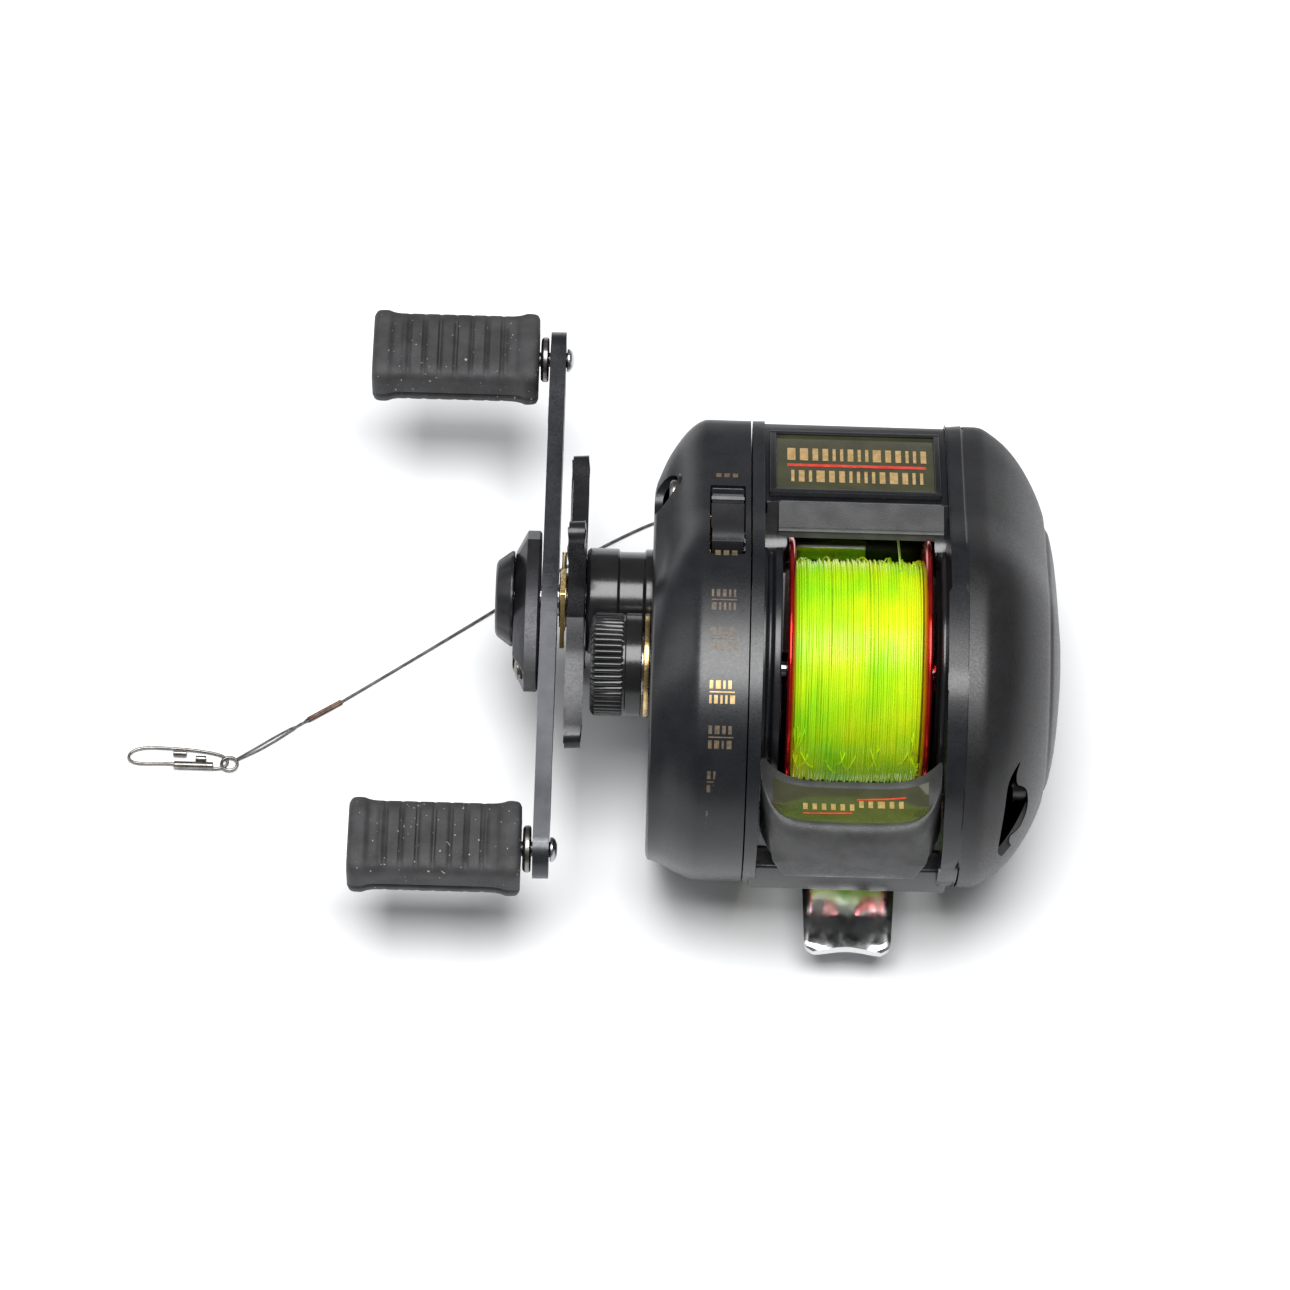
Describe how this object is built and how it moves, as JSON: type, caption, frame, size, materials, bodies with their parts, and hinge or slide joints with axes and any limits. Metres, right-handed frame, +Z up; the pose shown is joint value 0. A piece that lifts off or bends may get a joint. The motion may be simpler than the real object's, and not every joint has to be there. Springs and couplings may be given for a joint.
{
  "type": "baitcasting fishing reel",
  "caption": "Low-profile baitcasting fishing reel with crank, star drag, level wind, spool of line and a wire leader with a snap.",
  "frame": {"origin": "middle of the reel's footprint, on the surface that its side plates stand on", "axes": "+Z up, +Y towards the nose that the line leaves, +X towards the palm side, along the spool's axis"},
  "size_m": [0.1493, 0.1036, 0.058],
  "materials": {
    "satin_black": "satin",
    "star_black": "satin",
    "palm_black": "satin moulded",
    "textured_black": "fine textured matte",
    "guide_black": "gloss",
    "chrome_foot": "polished",
    "steel": "machined",
    "brass": "machined",
    "arm_metal": "satin dark anodised",
    "nameplate_silver": "brushed with printed stripes",
    "red_spool": "red anodised gloss",
    "yellow_line": "nylon line",
    "rubber_knob": "matte",
    "drag_fibre": "woven fibre",
    "coated_wire": "nylon coated wire",
    "crimp": "blackened copper"
  },
  "bodies": {
    "reel_body": {"frame": "satin_black", "reel_foot": "chrome_foot", "foot_rivet_front": "steel", "foot_rivet_rear": "steel", "handle_side_cover": "satin_black", "palm_side_cover": "palm_black", "palm_inner_plate": "satin_black", "brake_ring": "steel", "spool_bearing_palm": "steel", "spool_bearing_handle": "steel", "brass_ring": "brass", "one_way_bearing": "steel", "shaft_bearing": "steel", "yoke_spring_front": "steel", "yoke_spring_rear": "steel", "front_bar_cover": "textured_black", "nameplate": "nameplate_silver", "cover_screw_front": "steel", "cover_screw_rear": "steel", "levelwind_tube": "steel"},
    "crank": {"drive_shaft": "steel", "main_gear": "brass", "drag_washer": "drag_fibre", "pressure_plate": "steel", "ratchet_wheel": "steel", "levelwind_drive_gear": "brass", "clutch_sleeve": "steel", "spacer_sleeve": "brass", "spring_washer": "star_black", "handle_arm": "arm_metal", "hub_cover": "arm_metal", "hub_screw": "steel", "nut_cap": "arm_metal", "knob_spindle_front": "steel", "knob_spindle_rear": "steel", "knob_collar_front": "steel", "knob_collar_rear": "steel"},
    "star": {"star_drag": "star_black"},
    "front_knob": {"knob_front": "rubber_knob"},
    "rear_knob": {"knob_rear": "rubber_knob"},
    "spool_unit": {"spool": "red_spool", "spool_shaft": "steel", "line_winding": "yellow_line"},
    "thumb_lever": {"thumb_bar": "textured_black"},
    "yoke": {"clutch_yoke": "steel"},
    "pinion_gear": {"pinion": "brass"},
    "worm": {"worm_shaft": "steel", "worm_gear": "brass"},
    "guide": {"line_guide": "guide_black", "line_eye": "steel", "guide_pawl": "brass", "line_run": "yellow_line", "leader_swivel": "steel", "leader_wire": "coated_wire", "leader_sleeve": "crimp", "leader_loop": "coated_wire", "leader_snap": "steel"},
    "cap": {"cast_control_cap": "satin_black"},
    "switch": {"ar_switch": "satin_black"},
    "brake": {"brake_lever": "palm_black"}
  },
  "joints": [
    {"name": "crank_turn", "type": "hinge", "parent": "reel_body", "child": "crank", "pos_m": [-0.0035, 0.00063, 0.026], "axis": [1, 0, 0], "continuous": true},
    {"name": "star_turn", "type": "hinge", "parent": "crank", "child": "star", "pos_m": [-0.021, 0.00063, 0.026], "axis": [1, 0, 0], "range_deg": [-180, 180]},
    {"name": "knob_front_turn", "type": "hinge", "parent": "crank", "child": "front_knob", "pos_m": [-0.0415, 0.04477, 0.02831], "axis": [1, 0, 0], "continuous": true},
    {"name": "knob_rear_turn", "type": "hinge", "parent": "crank", "child": "rear_knob", "pos_m": [-0.0415, -0.04351, 0.02369], "axis": [1, 0, 0], "continuous": true},
    {"name": "spool_turn", "type": "hinge", "parent": "reel_body", "child": "spool_unit", "pos_m": [0.0235, -0.01487, 0.0327], "axis": [1, 0, 0], "continuous": true},
    {"name": "thumb_press", "type": "slide", "parent": "reel_body", "child": "thumb_lever", "axis": [0, 0, -1], "range_m": [0, 0.0045]},
    {"name": "yoke_slide", "type": "slide", "parent": "reel_body", "child": "yoke", "axis": [-1, 0, 0], "range_m": [0, 0.001], "deforming": ["yoke_spring_front", "yoke_spring_rear"]},
    {"name": "pinion_turn", "type": "hinge", "parent": "yoke", "child": "pinion_gear", "pos_m": [-0.0005, -0.01487, 0.0327], "axis": [1, 0, 0], "continuous": true},
    {"name": "worm_turn", "type": "hinge", "parent": "reel_body", "child": "worm", "pos_m": [0.0235, 0.01163, 0.0267], "axis": [1, 0, 0], "continuous": true},
    {"name": "guide_slide", "type": "slide", "parent": "reel_body", "child": "guide", "axis": [1, 0, 0], "range_m": [-0.016, 0.002], "deforming": ["leader_wire"]},
    {"name": "cap_turn", "type": "hinge", "parent": "reel_body", "child": "cap", "pos_m": [-0.0145, -0.01487, 0.0327], "axis": [1, 0, 0], "range_deg": [-180, 180]},
    {"name": "switch_slide", "type": "slide", "parent": "reel_body", "child": "switch", "axis": [0, 0.9031, -0.4294], "range_m": [-0.0018, 0.0018]},
    {"name": "brake_turn", "type": "hinge", "parent": "reel_body", "child": "brake", "pos_m": [0.049, -0.01487, 0.0327], "axis": [1, 0, 0], "range_deg": [-7, 7]}
  ],
  "couplings": [
    {"joint": "spool_turn", "follows": "crank_turn", "ratio": -5.0909},
    {"joint": "pinion_turn", "follows": "crank_turn", "ratio": -5.0909},
    {"joint": "worm_turn", "follows": "crank_turn", "ratio": -1.7143},
    {"joint": "yoke_slide", "follows": "thumb_press", "ratio": 0.22222}
  ]
}
